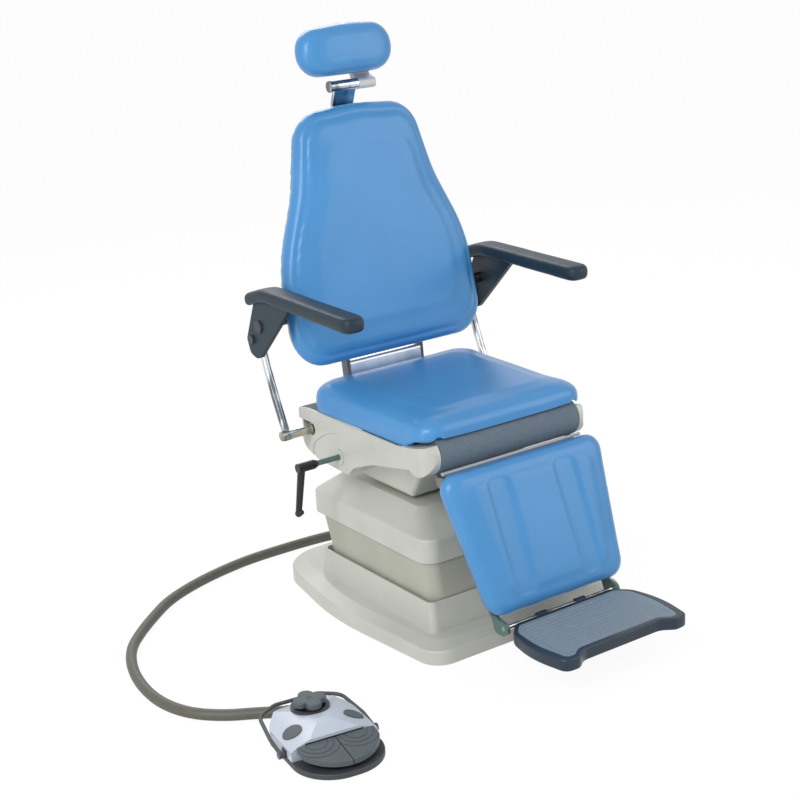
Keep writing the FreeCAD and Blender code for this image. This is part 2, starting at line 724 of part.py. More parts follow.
def leg_drum():
    half = LUG_IN - 2
    def sector(r):
        pts = [V(-half, 0, 0)]
        for deg in (-1, 49, 99, 150):
            t = math.radians(deg)
            pts.append(V(-half, 4 * r * math.cos(t), 4 * r * math.sin(t)))
        return Part.Face(Part.makePolygon(pts + [pts[0]])).extrude(V(2 * half, 0, 0))
    out = Part.makeCylinder(DRUM_R - 1.2, 2 * half, V(-half, 0, 0), V(1, 0, 0))
    core = Part.makeCylinder(DRUM_R - 4, 2 * half + 2, V(-half - 1, 0, 0), V(1, 0, 0))
    skin = out.cut(core).common(sector(DRUM_R))
    ribs = []
    for k in range(30):
        t = math.radians(2 + k * 5.0)
        c = V(-half, (DRUM_R - 1.2) * math.cos(t), (DRUM_R - 1.2) * math.sin(t))
        ribs.append(Part.makeCylinder(1.2, 2 * half, c, V(1, 0, 0)))
    ends = []
    for x0 in (-half, half - 3):
        disc = Part.makeCylinder(DRUM_R - 3, 3, V(x0, 0, 0), V(1, 0, 0)).common(sector(DRUM_R))
        ends.append(disc.cut(Part.makeCylinder(16, 20, V(x0 - 8, 0, 0), V(1, 0, 0))))
    return flat_leg(fuse([skin] + ribs + ends))


def leg_point(along, height):
    t = math.radians(LEG_FALL)
    c, s = math.cos(t), math.sin(t)
    return (LEG[0] - along * c - height * s, LEG[1] - along * s + height * c, 0)


BRACKET_X = (168.0, 176.0)


def foot_bracket():
    y, z = FOOT
    top, low = leg_point(380, LEG_SHEET[0]), leg_point(LEG_END - 6, LEG_SHEET[0])
    return prism_x([top, low, (y + 18, z + 17, 6), (y - 14, z + 13, 10), (y - 17, z - 9, 10),
                    (y + 2, z - 21, 14), (y + 31, z - 21, 10), (y + 46, z + 12, 14),
                    (top[0] + 8, top[1] + 2, 0)], -BRACKET_X[1], -BRACKET_X[0])


def paired(right):
    return right + [(-x, y, r) for x, y, r in reversed(right)]


FOOT_OUT = paired([(150, -474, 26), (188, -514, 60), (206, -600, 260), (188, -704, 24), (148, -706, 24),
                   (118, -684, 40)])
MAT_OUT = paired([(148, -488, 18), (176, -515, 40), (186, -600, 240), (172, -688, 14), (150, -690, 16),
                  (122, -670, 36)])
MAT_MID = (0.0, -590.0)
TRAY = (83.0, 113.0)
LUG_X = 60.0
LUG_W = 14.0
FOOT_ROD_R = 6.0


def foot_frame():
    tray = prism_z(FOOT_OUT, TRAY[0], TRAY[1])
    tray = soften(tray, 5.0, lambda e: at_z(e, TRAY[1]) or at_z(e, TRAY[0]))
    tray = tray.cut(prism_z(MAT_OUT, TRAY[1] - 4, TRAY[1] + 5))
    under = scaled(MAT_OUT, 0.96, MAT_MID)
    tray = tray.cut(prism_z(under, TRAY[0] - 1, TRAY[1] - 9))
    lugs = []
    for s in (-1, 1):
        c = s * LUG_X
        lugs += [xrod(FOOT, c - LUG_W, c + LUG_W, 10)]
        lugs += [box(c - LUG_W, c + LUG_W, FOOT[0] - 18, FOOT[0], FOOT[1] - 10, FOOT[1] + 7)]
    tray = fuse([tray] + lugs)
    return tray.cut(xrod(FOOT, -200, 200, FOOT_ROD_R + RUN))


def foot_mat():
    sheet = prism_z(scaled(MAT_OUT, 0.996, MAT_MID), TRAY[1] - 4, TRAY[1] - 0.5)
    ribs = [prism_x([(y - 4.5, TRAY[1] - 0.5, 0), (y + 4.5, TRAY[1] - 0.5, 0), (y + 3, TRAY[1] + 1.0, 0),
                     (y - 3, TRAY[1] + 1.0, 0)], -w, w)
            for y, w in [(-502 - k * 14.0, min(148 + k * 4.0, 166)) for k in range(12)]]
    return fuse([sheet] + ribs)


parts["leg_cushion"] = leg_cushion()
parts["leg_frame"] = leg_frame()
parts["leg_drum"] = leg_drum()
parts["leg_trim"] = flat_leg(piping())
parts["foot_brackets"] = group(both(foot_bracket().cut(xrod(FOOT, -200, 200, FOOT_ROD_R))))
parts["foot_rod"] = xrod(FOOT, -BRACKET_X[1] - 1, BRACKET_X[1] + 1, FOOT_ROD_R)
parts["foot_frame"] = foot_frame()
parts["foot_mat"] = foot_mat()


# Foot control, in its own frame: front at -Y

CONTROL = paired([(PEDAL_HALF, -158, PEDAL_HALF - 9), (PEDAL_HALF, 72, 50), (PEDAL_HALF - 48, 134, 62)])
HINGE_X = PEDAL_HALF - 29.0
JOY = (0.0, 72.0)
JOY_R = 44.0
BUTTON = (PEDAL_HALF - 31.0, 4.0)
BUTTON_R = 21.5
PEDAL_AXIS = (-46.0, 41.5)
PEDAL_PIN = 3.0
JOY_Z = 59.0
JOY_PIN = 2.0
SHELL_LOW = 16.0
BAIL = (-18.0, 20.0)


def dome(lift):
    long = Part.makeCylinder(330 + lift, 400, V(-200, 18, 66 - 330), V(1, 0, 0))
    cross = Part.makeCylinder(210 + lift, 500, V(0, -250, 66 - 210), V(0, 1, 0))
    return long.common(cross)


def control_shell():
    plan = prism_z(scaled(CONTROL, 0.985, (0, 0)), SHELL_LOW, 90)
    plan = plan.cut(box(-150, 150, -200, SHELL_FRONT, 0, 100))
    shell = plan.common(dome(0))
    inner = prism_z(scaled(CONTROL, 0.95, (0, 0)), SHELL_LOW - 1, 90)
    inner = inner.cut(box(-150, 150, -200, SHELL_FRONT + 3, 0, 100)).common(dome(-3))
    shell = shell.cut(inner)
    holes = [rod((JOY[0], JOY[1], 20), (JOY[0], JOY[1], 90), JOY_R - 6)]
    for s in (-1, 1):
        holes.append(rod((s * BUTTON[0], BUTTON[1], 20), (s * BUTTON[0], BUTTON[1], 90), BUTTON_R + GAP))
    w = HINGE_X - 6
    holes.append(box(-w, w, SHELL_FRONT - 5, SHELL_FRONT + 5, 34, 51))
    return shell.cut(fuse(holes))


def bezel():
    ring = tube((JOY[0], JOY[1], 55), (JOY[0], JOY[1], 67.5), JOY_R, JOY_R - 10)
    ring = ring.cut(dome(0))
    neck = tube((JOY[0], JOY[1], 50), (JOY[0], JOY[1], 67), JOY_R - 6.1, JOY_R - 10)
    return fuse([ring, neck]).cut(xrod((JOY[1], JOY_Z), -60, 60, JOY_PIN + RUN))


def joy_gimbal():
    ring = tube((JOY[0], JOY[1], JOY_Z - 4), (JOY[0], JOY[1], JOY_Z + 4), 18, 12)
    trunnions = both(xrod((JOY[1], JOY_Z), -JOY_R + 7, -15, JOY_PIN))
    bore = rod((JOY[0], JOY[1] - 30, JOY_Z), (JOY[0], JOY[1] + 30, JOY_Z), JOY_PIN + RUN)
    return fuse([ring] + trunnions).cut(bore)


def joy_pad():
    low, high = 72.5, 85.0
    lobes = [rod((JOY[0] + 21 * cx, JOY[1] + 21 * cy, low), (JOY[0] + 21 * cx, JOY[1] + 21 * cy, high), 18)
             for cx, cy in ((1, 0), (-1, 0), (0, 1), (0, -1))]
    lobes = [soften(b, 3.0, lambda e: at_z(e, high)) for b in lobes]
    hub = rod((JOY[0], JOY[1], low), (JOY[0], JOY[1], high - 1.5), 19)
    stem = rod((JOY[0], JOY[1], JOY_Z - 5), (JOY[0], JOY[1], low + 1), 9)
    pins = rod((JOY[0], JOY[1] - 17, JOY_Z), (JOY[0], JOY[1] + 17, JOY_Z), JOY_PIN)
    return fuse(lobes + [hub, stem, pins])


def button(s):
    x, y = s * BUTTON[0], BUTTON[1]
    cap = rod((x, y, 37), (x, y, 90), BUTTON_R)
    return cap.common(dome(2.5))


def pedal_plate(s):
    w = PEDAL_HALF - 14
    x0, x1 = (1.2, w) if s > 0 else (-w, -1.2)
    rear = SHELL_FRONT - 3
    slab = Part.makeCylinder(PEDAL_HALF - 6, 60, V(0, -50, 0)).common(box(x0, x1, -160, rear, 0, 60))
    cut = prism_x([(-200, 0, 0), (rear, 0, 0), (rear, 38.5, 0), (-200, 19.5, 0)], -120, 120)
    top = prism_x([(rear, 49.5, 0), (-200, 30.5, 0), (-200, 80, 0), (rear, 80, 0)], -120, 120)
    slab = slab.cut(cut).cut(top)
    c = V(s * 47.0, rear, 30)
    for r in (26.0, 40.0, 54.0):
        groove = Part.makeCylinder(r + 1.2, 40, c).cut(Part.makeCylinder(r - 1.2, 40, c))
        floor = prism_x([(rear, 48.5, 0), (-200, 29.5, 0), (-200, 90, 0), (rear, 90, 0)], -120, 120)
        slab = slab.cut(groove.common(floor))
    t0, t1 = (13.0, HINGE_X - 9) if s > 0 else (9 - HINGE_X, -13.0)
    tongue = box(t0, t1, rear - 2, rear + 18, 37, 46)
    return fuse([slab, tongue]).cut(xrod(PEDAL_AXIS, -HINGE_X, HINGE_X, PEDAL_PIN + RUN))


def bail():
    y, z = BAIL
    x, w = PEDAL_HALF + 8, PEDAL_HALF - 51
    pts = [V(-x, y, z), V(-x, y + 58, z + 10), V(-x + 12, 128, 40), V(-w, 153, 45), V(w, 153, 45),
           V(x - 12, 128, 40), V(x, y + 58, z + 10), V(x, y, z)]
    path = rounded(pts, [0, 60, 34, 34, 34, 34, 60, 0], False)
    ring = Part.Wire(Part.makeCircle(4.5, pts[0], pts[1] - pts[0]))
    loop = path.makePipeShell([ring], True, False)
    eyes = [xrod(BAIL, -x - 6, -PEDAL_HALF - GAP, 9), xrod(BAIL, PEDAL_HALF + GAP, x + 6, 9)]
    shape = fuse([loop] + eyes)
    return shape.cut(xrod(BAIL, -PEDAL_HALF - 8, PEDAL_HALF + 8, 4 + RUN))


def control_base():
    plate = prism_z(CONTROL, 4, SHELL_LOW)
    plate = soften(plate, 3.0, lambda e: at_z(e, SHELL_LOW))
    ears = both(box(-PEDAL_HALF, -PEDAL_HALF + 14, BAIL[0] - 12, BAIL[0] + 12, 10, 32))
    pins = both(xrod(BAIL, -PEDAL_HALF - 7.5, -PEDAL_HALF + 4, 4.0))
    y, z = PEDAL_AXIS
    def post(x0, x1):
        return box(x0, x1, y - 4, y + 4, SHELL_LOW - 2, z + 4)
    posts = both(post(-HINGE_X, -HINGE_X + 7.5)) + [post(-6, 6)]
    hinge = xrod(PEDAL_AXIS, -HINGE_X, HINGE_X, PEDAL_PIN)
    return fuse([plate] + ears + pins + posts + [hinge])


SHELL_CUT = both(box(-PEDAL_HALF - 23, -PEDAL_HALF + 14.2, BAIL[0] - 12.2, BAIL[0] + 12.2, 0, 32.2))
CONTROL_FEET = [(-70, -90), (70, -90), (-62, 80), (62, 80)]
control = {
    "control_base": control_base(),
    "control_shell": control_shell().cut(fuse(SHELL_CUT)),
    "control_bezel": bezel(),
    "joy_gimbal": joy_gimbal(),
    "joy_pad": joy_pad(),
    "button_l": button(-1),
    "button_r": button(1),
    "pedal_l": pedal_plate(-1),
    "pedal_r": pedal_plate(1),
    "control_bail": bail(),
}
for name, shape in control.items():
    parts[name] = on_pedal(shape)
CONTROL_FEET = [on_pedal(rod((x, y, 0), (x, y, 4), 11.0)) for x, y in CONTROL_FEET]
parts["rubber_feet"] = group(BASE_FEET + CONTROL_FEET)


# Hose, from the gland on the base to the gland on the foot control

HOSE = [(84, 418, 19), (44, 454, 16), (-20, 482, 13.7), (-110, 494, 13.7), (-215, 497, 13.7),
        (-320, 495, 13.7), (-430, 474, 13.7), (-530, 442, 13.7), (-620, 398, 13.7), (-690, 340, 13.7),
        (-760, 277, 13.7), (-826, 204, 13.7), (-872, 104, 13.7), (-896, 0, 13.7), (-899, -100, 13.7),
        (-872, -187, 13.7), (-815, -250, 13.7), (-752, -290, 15), (-704, -332, 18)]


def bend_radii(pts):
    radii = [0]
    for a, b, c in zip(pts, pts[1:], pts[2:]):
        turn = (b - a).getAngle(c - b)
        radii.append(0.45 * min((b - a).Length, (c - b).Length) / math.tan(turn / 2))
    return radii + [0]


def hose():
    pts = [V(*p) for p in HOSE]
    radii = bend_radii(pts)
    print("hose bend radii", [round(r) for r in radii[1:-1]])
    path = rounded(pts, radii, False)
    ring = Part.Wire(Part.makeCircle(HOSE_R, pts[0], pts[1] - pts[0]))
    shape = path.makePipeShell([ring], True, False)
    ratio = shape.Volume / (path.Length * math.pi * HOSE_R ** 2)
    print("hose length %.0f volume ratio %.4f" % (path.Length, ratio))
    return shape


def hose_gland():
    start = V(*HOSE[0])
    way = (V(*HOSE[1]) - start).normalize()
    barrel = Part.makeCylinder(HOSE_R + 2, 30, start - way * 30, way)
    flange = Part.makeCylinder(HOSE_R + 3, 5, V(start.x - way.x * 16, SKIRT_REAR, start.z + 1), V(0, 1, 0))
    keep = box(0, 200, SKIRT_REAR, 480, 0, 60)
    return fuse([barrel.common(keep), flange])


def control_gland():
    end = V(*HOSE[-1])
    way = (end - V(*HOSE[-2])).normalize()
    barrel = Part.makeCylinder(HOSE_R + 1, 52, end, way)
    return fuse([barrel, Part.makeCylinder(HOSE_R + 2.5, 6, end + way * 12, way)])


parts["hose"] = hose()
gland = control_gland()
room = on_pedal(prism_z(scaled(CONTROL, 0.95, (0, 0)), 0, 90))
parts["hose_glands"] = group([hose_gland(), gland.cut(parts["control_base"]).cut(room)])
parts["control_shell"] = parts["control_shell"].cut(gland)


os.makedirs("parts", exist_ok=True)
for old in os.listdir("parts"):
    os.remove(os.path.join("parts", old))
for name, shape in parts.items():
    solids = shape.Solids
    ok = all(s.isValid() and s.Volume > 0 for s in solids)
    b = shape.BoundBox
    print("%-16s solids %2d faces %3d %s  x %.0f %.0f  y %.0f %.0f  z %.0f %.0f" % (
        name, len(solids), len(shape.Faces), "ok" if ok and solids else "BAD",
        b.XMin, b.XMax, b.YMin, b.YMax, b.ZMin, b.ZMax))
    shape.exportStep("parts/" + name + ".step")
print(len(parts), "parts")
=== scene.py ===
# %% [markdown]
# # An ear, nose and throat chair, dressed
# The chair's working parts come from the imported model: covers, plates, hinges and pedals stand where the
# designer put them. This lesson gives each of them a finish, makes the four upholstered pads as soft
# things, lays the foot control's hose, and sets up the camera and the lights.

# %% Load the working parts
import bpy
import json
import math
import numpy as np
from mathutils import Matrix, Vector


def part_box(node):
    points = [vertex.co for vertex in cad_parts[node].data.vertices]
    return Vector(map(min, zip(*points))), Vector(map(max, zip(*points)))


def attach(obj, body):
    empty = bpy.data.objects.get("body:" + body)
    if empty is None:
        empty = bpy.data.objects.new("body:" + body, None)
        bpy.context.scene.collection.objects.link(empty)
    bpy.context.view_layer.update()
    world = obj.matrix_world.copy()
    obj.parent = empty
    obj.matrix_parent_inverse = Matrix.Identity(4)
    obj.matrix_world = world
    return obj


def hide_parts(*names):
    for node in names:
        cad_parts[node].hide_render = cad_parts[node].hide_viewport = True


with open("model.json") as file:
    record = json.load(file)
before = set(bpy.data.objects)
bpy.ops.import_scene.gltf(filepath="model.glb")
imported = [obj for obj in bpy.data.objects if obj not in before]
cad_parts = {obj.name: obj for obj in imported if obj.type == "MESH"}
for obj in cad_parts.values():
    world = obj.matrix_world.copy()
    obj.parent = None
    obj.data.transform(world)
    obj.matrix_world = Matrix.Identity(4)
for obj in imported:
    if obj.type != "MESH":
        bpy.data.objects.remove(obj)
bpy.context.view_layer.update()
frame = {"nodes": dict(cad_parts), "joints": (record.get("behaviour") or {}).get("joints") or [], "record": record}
nodes = frame["nodes"]
scene = bpy.context.scene
for plain in list(bpy.data.materials):
    bpy.data.materials.remove(plain)
print("parts loaded:", len(nodes))


def select_only(chosen):
    """Deselects everything, then selects this object and makes it the active one."""
    bpy.ops.object.select_all(action="DESELECT")
    chosen.select_set(True)
    bpy.context.view_layer.objects.active = chosen


# %% [markdown]
# ## The camera
# The camera stands in front of the chair on the patient's right, a little above the headrest, and looks
# down. Its place was worked out from the straight edges of the real chair. Three unit vectors make its
# matrix: to the right, up, and back from the lens, with a small roll about the last.

# %% Place the camera
CAMERA_AT = Vector((-2.39215, -3.34774, 1.85229))
AZIMUTH, PITCH, ROLL = math.radians(-34.18), math.radians(17.86), math.radians(-3.2)
FOCAL_PIXELS, IMAGE_PIXELS, SENSOR = 1697.1, 800, 36.0
FARTHEST_SEEN = 100

backward = Vector((
    math.sin(AZIMUTH) * math.cos(PITCH), -math.cos(AZIMUTH) * math.cos(PITCH), math.sin(PITCH)))
level = Vector((math.cos(AZIMUTH), math.sin(AZIMUTH), 0))
upward = backward.cross(level)
right = level * math.cos(ROLL) + upward * math.sin(ROLL)
up = upward * math.cos(ROLL) - level * math.sin(ROLL)
turn = Matrix((right, up, backward)).transposed().to_4x4()
bpy.ops.object.camera_add()
camera = bpy.context.active_object
camera.matrix_world = Matrix.Translation(CAMERA_AT) @ turn
camera.data.sensor_width = SENSOR
camera.data.lens = SENSOR * FOCAL_PIXELS / IMAGE_PIXELS
camera.data.clip_end = FARTHEST_SEEN
scene.camera = camera
print("lens %.1f mm" % camera.data.lens)

# %% [markdown]
# ## Writing finishes as formulas
# A finish is a small network of nodes. Drawing it node by node is long, so one class wraps a socket and
# lets Python's own signs add the Math nodes: `1 - mask * 0.3` becomes two nodes. Every other node comes
# from the method `node`.

# %% The socket class


class Wire:
    """One output socket of a node tree, usable in sums and products. Without a socket it only adds nodes."""

    def __init__(self, tree, socket=None):
        self.tree = tree
        self.socket = socket

    def node(self, kind, settings=None, out=0, **inputs):
        """A new node: its settings are set first, then its sockets by name, or as i0, i1 by number."""
        made = self.tree.nodes.new("ShaderNode" + kind)
        for key, value in (settings or {}).items():
            setattr(made, key, value)
        for key, value in inputs.items():
            numbered = key[0] == "i" and key[1:].isdigit()
            socket = made.inputs[int(key[1:]) if numbered else key.replace("_", " ")]
            if isinstance(value, Wire):
                self.tree.links.new(value.socket, socket)
            else:
                socket.default_value = value
        return Wire(self.tree, made.outputs[out] if made.outputs else None)

    def maths(self, operation, first, second):
        return self.node("Math", {"operation": operation}, i0=first, i1=second)

    def __add__(self, other):
        return self.maths("ADD", self, other)

    def __radd__(self, other):
        return self.maths("ADD", other, self)

    def __sub__(self, other):
        return self.maths("SUBTRACT", self, other)

    def __rsub__(self, other):
        return self.maths("SUBTRACT", other, self)

    def __mul__(self, other):
        return self.maths("MULTIPLY", self, other)

    def __rmul__(self, other):
        return self.maths("MULTIPLY", other, self)

    def limit(self, low, high):
        """Runs from 0 at low to 1 at high, smoothly, and stays there."""
        return self.node("MapRange", {"interpolation_type": "SMOOTHSTEP"}, i0=self, i1=low, i2=high)

    def noise(self, scale, detail=3.0, rough=0.5):
        """Cloudy noise at this place, with scale cells to the metre."""
        return self.node("TexNoise", Vector=self, Scale=scale, Detail=detail, Roughness=rough)

    def mix(self, first, second):
        """A colour between two colours, by this value."""
        ends = [c if isinstance(c, Wire) else (*c, 1) for c in (first, second)]
        return self.node("Mix", {"data_type": "RGBA"}, out=2, i0=self, i6=ends[0], i7=ends[1])

    def bump(self, strength, distance):
        return self.node("Bump", Height=self, Strength=strength, Distance=distance)


# %% Starting a finish


def linear(r, g, b):
    """A colour picked from a screen, as light, by the curved part of the sRGB formula."""
    return tuple(((c / 255 + 0.055) / 1.055) ** 2.4 for c in (r, g, b))


def new_finish(name, **constants):
    """A material, its shader, and the place on the object as a Wire."""
    material = bpy.data.materials.new(name)
    material.use_nodes = True
    tree = material.node_tree
    shader = tree.nodes["Principled BSDF"]
    for key, value in constants.items():
        shader.inputs[key.replace("_", " ")].default_value = value
    return material, shader, Wire(tree).node("TexCoord", out="Object")


def feed(shader, **wires):
    for key, wire in wires.items():
        wire.tree.links.new(wire.socket, shader.inputs[key.replace("_", " ")])


# %% [markdown]
# ## Moulded plastic
# The covers, armrests and foot control are mouldings. A moulding is one colour, but it isn't flat: its
# colour drifts a little, the mould leaves a fine grain, and handling polishes it unevenly. Three noises at
# three sizes give these. The same recipe serves every moulding, so it is a function with a row of values
# for each: slot, colour, roughness, depth of the grain, its cells to the metre, drift of the colour, clear
# coat and shine.

# %% Moulded plastics
COAT_ROUGH = 0.25
CLOUD_SCALE, WIPE_SCALE = 9.0, 28.0
CLOUD_SHARE, SPECK_SHARE = 0.7, 0.3
NOISE_LOW, NOISE_HIGH = 0.3, 0.7
WIPE_SPREAD = 0.16
GRAIN_HEIGHT = 0.0004
MOULDINGS = [
    ("cover_cream", linear(200, 201, 193), 0.38, 0.10, 900.0, 0.03, 0.15, 0.5),
    ("cover_beige", linear(178, 179, 166), 0.42, 0.10, 900.0, 0.03, 0.1, 0.5),
    ("shell_cream", linear(198, 199, 190), 0.45, 0.12, 900.0, 0.03, 0.0, 0.5),
    ("slate_plastic", linear(34, 50, 62), 0.44, 0.2, 520.0, 0.06, 0.0, 0.3),
    ("tray_slate", linear(36, 51, 66), 0.34, 0.15, 700.0, 0.05, 0.1, 0.35),
    ("black_plastic", linear(22, 22, 25), 0.35, 0.2, 700.0, 0.05, 0.0, 0.5),
    ("ivory_plastic", linear(212, 213, 213), 0.4, 0.1, 800.0, 0.02, 0.0, 0.5),
    ("control_silver", linear(196, 204, 219), 0.33, 0.12, 900.0, 0.03, 0.2, 0.5),
    ("control_grey", linear(80, 90, 95), 0.5, 0.3, 600.0, 0.05, 0.0, 0.5),
    ("control_dark", linear(60, 64, 68), 0.5, 0.3, 600.0, 0.05, 0.0, 0.5),
    ("guide_plastic", linear(205, 204, 196), 0.5, 0.1, 800.0, 0.03, 0.0, 0.5),
    ("board_black", linear(40, 42, 45), 0.6, 0.3, 500.0, 0.06, 0.0, 0.5),
    ("piping_pale", linear(178, 184, 190), 0.4, 0.1, 800.0, 0.03, 0.0, 0.5),
    ("gland_plastic", linear(52, 52, 50), 0.5, 0.2, 700.0, 0.04, 0.0, 0.5)]


def moulded(name, colour, rough, grain, grain_scale, drift, coat, shine):
    material, shader, place = new_finish(
        name, Coat_Weight=coat, Coat_Roughness=COAT_ROUGH, Specular_IOR_Level=shine)
    cloud = place.noise(CLOUD_SCALE, detail=2.0)
    speck = place.noise(grain_scale, detail=2.0)
    wipe = place.noise(WIPE_SCALE, detail=4.0, rough=0.6)
    dark = tuple(c * (1 - 2 * drift) for c in colour)
    light = tuple(min(1.0, c * (1 + drift)) for c in colour)
    shade = (cloud * CLOUD_SHARE + speck * SPECK_SHARE).limit(NOISE_LOW, NOISE_HIGH)
    feed(shader, Base_Color=shade.mix(dark, light), Normal=speck.bump(grain, GRAIN_HEIGHT),
         Roughness=wipe * WIPE_SPREAD + (rough - WIPE_SPREAD / 2))
    return material


finishes = {row[0]: moulded(*row) for row in MOULDINGS}
print(len(finishes), "mouldings ready")

# %% [markdown]
# ## Painted steel
# Steel that is sprayed has a shallow orange-peel skin, which a noise of a few millimetres gives as bump. A
# slower one darkens the paint here and there. Each row holds slot, colour and roughness.

# %% Paints
PEEL_SCALE, PEEL_DEPTH, PEEL_HEIGHT = 260.0, 0.12, 0.0006
PAINT_CLOUD, PAINT_SHADE = 14.0, 0.88
PAINT_SPREAD, PAINT_BELOW = 0.15, 0.07
PAINTS = [
    ("steel_grey", linear(120, 122, 124), 0.45),
    ("teal_paint", linear(84, 116, 112), 0.4),
    ("bail_dark", linear(70, 76, 80), 0.4)]


def painted(name, colour, rough):
    material, shader, place = new_finish(name)
    peel = place.noise(PEEL_SCALE, detail=2.0)
    cloud = place.noise(PAINT_CLOUD)
    shaded = tuple(c * PAINT_SHADE for c in colour)
    feed(shader, Base_Color=cloud.limit(NOISE_LOW, NOISE_HIGH).mix(shaded, colour),
         Roughness=cloud * PAINT_SPREAD + (rough - PAINT_BELOW), Normal=peel.bump(PEEL_DEPTH, PEEL_HEIGHT))
    return material


finishes.update({row[0]: painted(*row) for row in PAINTS})
print(len(PAINTS), "paints ready")

# %% [markdown]
# ## Plated steel
# Plated bars are mirrors that show long streaks of the room. These reflections are painted into the colour:
# a noise stretched along the height of the chair, as the link rods and the headrest's post run, lays
# painted bright and dark reflection streaks. The arm pivots end in dark plastic caps outside the brackets,
# and a mask by the distance from the middle of the chair tells them apart. Each row holds slot, colour of
# the painted bright reflections, colour of the painted dark reflections, and roughness.

# %% Platings
REFLECTION_STREAK_SCALE = (34.0, 34.0, 5.0)
REFLECTION_LOW, REFLECTION_HIGH, STREAK_SPREAD = 0.36, 0.62, 0.1
POLISH_SCALE, POLISH_DEPTH, POLISH_HEIGHT = 420.0, 0.04, 0.0002
CAP_FROM, CAP_EDGE, CAP_ROUGHER = 0.3561, 0.0002, 0.35
CAP_COLOUR = linear(58, 64, 70)
# The bright and dark colours in each row are painted reflections of the room, laid as streaks.
PLATINGS = [
    ("bar_grey", (0.93, 0.93, 0.93), (0.82, 0.83, 0.84), 0.4),
    ("chrome", (0.66, 0.68, 0.70), (0.16, 0.18, 0.20), 0.12),
    ("stud_steel", (0.62, 0.58, 0.50), (0.26, 0.24, 0.20), 0.2),
    ("bolt_steel", (0.6, 0.6, 0.6), (0.4, 0.4, 0.4), 0.3)]


def plated(name, bright, dark, rough):
    material, shader, place = new_finish(name, Metallic=1.0)
    # A noise stretched along the height paints bright and dark reflection streaks into the colour, and also varies
    # the roughness.
    reflection_noise = place.node("Mapping", Vector=place, Scale=REFLECTION_STREAK_SCALE).noise(1.0, detail=2.0)
    polish = place.noise(POLISH_SCALE, detail=2.0)
    across = place.node("SeparateXYZ", Vector=place)
    aside = place.node("Math", {"operation": "ABSOLUTE"}, i0=across)
    cap = aside.limit(CAP_FROM, CAP_FROM + CAP_EDGE)
    # The colour runs between the painted dark and bright reflections by the stretched noise.
    metal_with_painted_reflections = reflection_noise.limit(REFLECTION_LOW, REFLECTION_HIGH).mix(dark, bright)
    feed(shader, Base_Color=cap.mix(metal_with_painted_reflections, CAP_COLOUR), Metallic=1 - cap,
         Roughness=reflection_noise * STREAK_SPREAD + cap * CAP_ROUGHER + (rough - STREAK_SPREAD / 2),
         Normal=polish.bump(POLISH_DEPTH, POLISH_HEIGHT))
    return material


finishes.update({row[0]: plated(*row) for row in PLATINGS})
print(len(PLATINGS), "platings ready")

# %% [markdown]
# ## Rubber
# Rubber is dull, and dust and wax leave a pale bloom on it in patches. One rough noise lays the bloom and
# makes it duller there, and a fine one gives the skin. Each row holds slot, colour, roughness and strength
# of the bloom.

# %% Rubbers
BLOOM_SCALE, BLOOM_LOW, BLOOM_HIGH = 60.0, 0.4, 0.75
BLOOM_LIGHT, BLOOM_SPREAD = 0.004, 0.2
SKIN_SCALE, SKIN_DEPTH, SKIN_HEIGHT = 800.0, 0.3, 0.0005
RUBBERS = [
    ("rubber_black", (0.02, 0.02, 0.02), 0.7, 0.5),
    ("mat_grey", linear(124, 139, 154), 0.6, 0.12),
    ("band_grey", linear(104, 119, 133), 0.6, 0.12),
    ("hose_rubber", linear(88, 86, 78), 0.5, 0.15)]


def rubbery(name, colour, rough, dust):
    material, shader, place = new_finish(name)
    bloom = place.noise(BLOOM_SCALE, detail=5.0, rough=0.7)
    skin = place.noise(SKIN_SCALE, detail=2.0)
    pale = tuple(min(1.0, c * (1 + dust) + BLOOM_LIGHT) for c in colour)
    feed(shader, Base_Color=bloom.limit(BLOOM_LOW, BLOOM_HIGH).mix(colour, pale),
         Roughness=bloom * BLOOM_SPREAD + (rough - BLOOM_SPREAD / 2),
         Normal=skin.bump(SKIN_DEPTH, SKIN_HEIGHT))
    return material


finishes.update({row[0]: rubbery(*row) for row in RUBBERS})
print(len(RUBBERS), "rubbers ready")

# %% [markdown]
# ## Blue upholstery
# The pads are covered in a semi-gloss vinyl. Close up it has a pressed grain of small rounded cells. A
# Voronoi texture gives the cells, and a broader wrinkle goes under them so that they don't look like tiles.
# From a step away only the soft sheen shows, so the bump stays shallow.

# %% The vinyl
VINYL_SLOT = "upholstery_blue"
VINYL_LIGHT, VINYL_DEEP = linear(76, 148, 208), linear(70, 142, 202)
VINYL_COAT, VINYL_SHINE, VINYL_ROUGH = 0.2, 0.35, 0.24
DRIFT_SCALE, WRINKLE_SCALE, CELL_SCALE, CELL_SMOOTHNESS = 5.0, 150.0, 620.0, 0.6
CELL_SHARE, WRINKLE_SHARE, VINYL_GRAIN = 0.7, 0.5, 0.08
DRIFT_SPREAD, WRINKLE_SPREAD = 0.08, 0.06


def upholstery(name):
    material, shader, place = new_finish(
        name, Coat_Weight=VINYL_COAT, Coat_Roughness=COAT_ROUGH, Specular_IOR_Level=VINYL_SHINE)
    drift = place.noise(DRIFT_SCALE)
    wrinkle = place.noise(WRINKLE_SCALE)
    cells = place.node(
        "TexVoronoi", {"feature": "SMOOTH_F1"}, Vector=place, Scale=CELL_SCALE, Smoothness=CELL_SMOOTHNESS)
    grain = cells * CELL_SHARE + wrinkle * WRINKLE_SHARE
    feed(shader, Base_Color=drift.limit(NOISE_LOW, NOISE_HIGH).mix(VINYL_DEEP, VINYL_LIGHT),
         Roughness=drift * DRIFT_SPREAD + wrinkle * WRINKLE_SPREAD + VINYL_ROUGH,
         Normal=grain.bump(VINYL_GRAIN, GRAIN_HEIGHT))
    return material


finishes[VINYL_SLOT] = upholstery(VINYL_SLOT)
print("vinyl ready")

